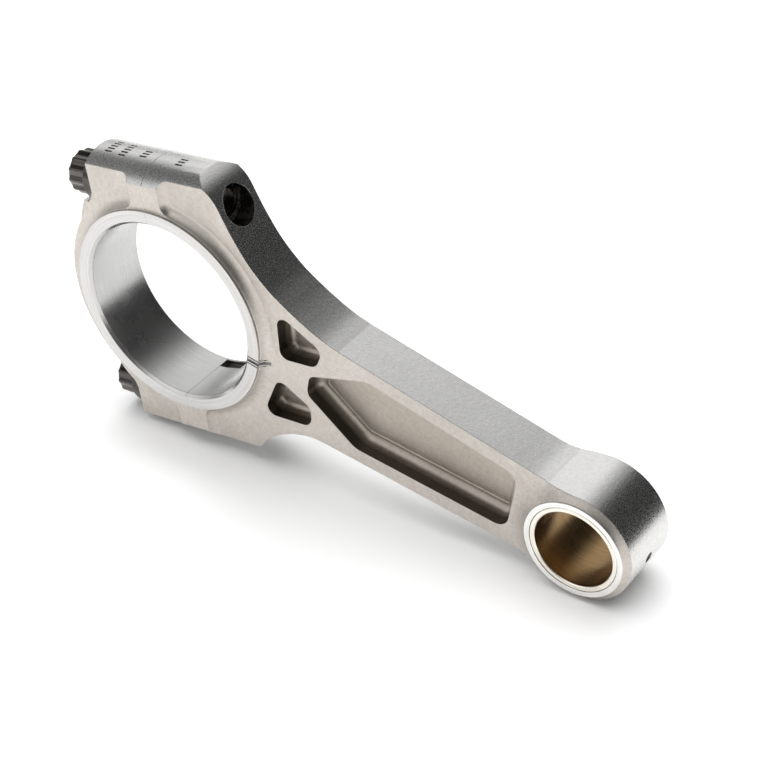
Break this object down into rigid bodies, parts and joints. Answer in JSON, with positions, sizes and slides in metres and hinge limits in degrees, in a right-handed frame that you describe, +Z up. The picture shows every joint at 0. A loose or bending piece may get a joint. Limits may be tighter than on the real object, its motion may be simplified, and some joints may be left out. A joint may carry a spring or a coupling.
{
  "type": "connecting rod",
  "caption": "Forged I-beam connecting rod with an oblique bolted cap, pocketed web, thrust faces at the big end and a bronze-bushed small end, standing on edge.",
  "frame": {"origin": "on the ground plane, below the middle of the object's box; the rod stands on edge, on the lower corner of its cap and on its small-end barrel", "axes": "+X from the big end to the small end, +Y along the crank pin and piston pin axes, +Z up"},
  "size_m": [0.177, 0.0216, 0.0873],
  "materials": {
    "peened_steel": "warm light grey satin, fine shot-peened grain, with turned bright thrust faces and honed bore",
    "bushing_bronze": "machined bronze, semi-gloss",
    "bolt_steel": "dark polished high-tensile steel",
    "sleeve_steel": "ground steel"
  },
  "bodies": {
    "rod": {"rod_body": "peened_steel", "small_end_bushing": "bushing_bronze", "dowel_sleeve_upper": "sleeve_steel", "dowel_sleeve_lower": "sleeve_steel"},
    "cap": {"rod_cap": "peened_steel"},
    "bolt_upper": {"cap_bolt_upper": "bolt_steel"},
    "bolt_lower": {"cap_bolt_lower": "bolt_steel"}
  },
  "joints": [
    {"name": "cap_slide", "type": "slide", "parent": "rod", "child": "cap", "axis": [-0.9955, 0, -0.0949], "range_m": [0, 0.045]},
    {"name": "bolt_upper_slide", "type": "slide", "parent": "cap", "child": "bolt_upper", "axis": [-0.9955, 0, -0.0949], "range_m": [0, 0.042]},
    {"name": "bolt_lower_slide", "type": "slide", "parent": "cap", "child": "bolt_lower", "axis": [-0.9955, 0, -0.0949], "range_m": [0, 0.042]}
  ]
}
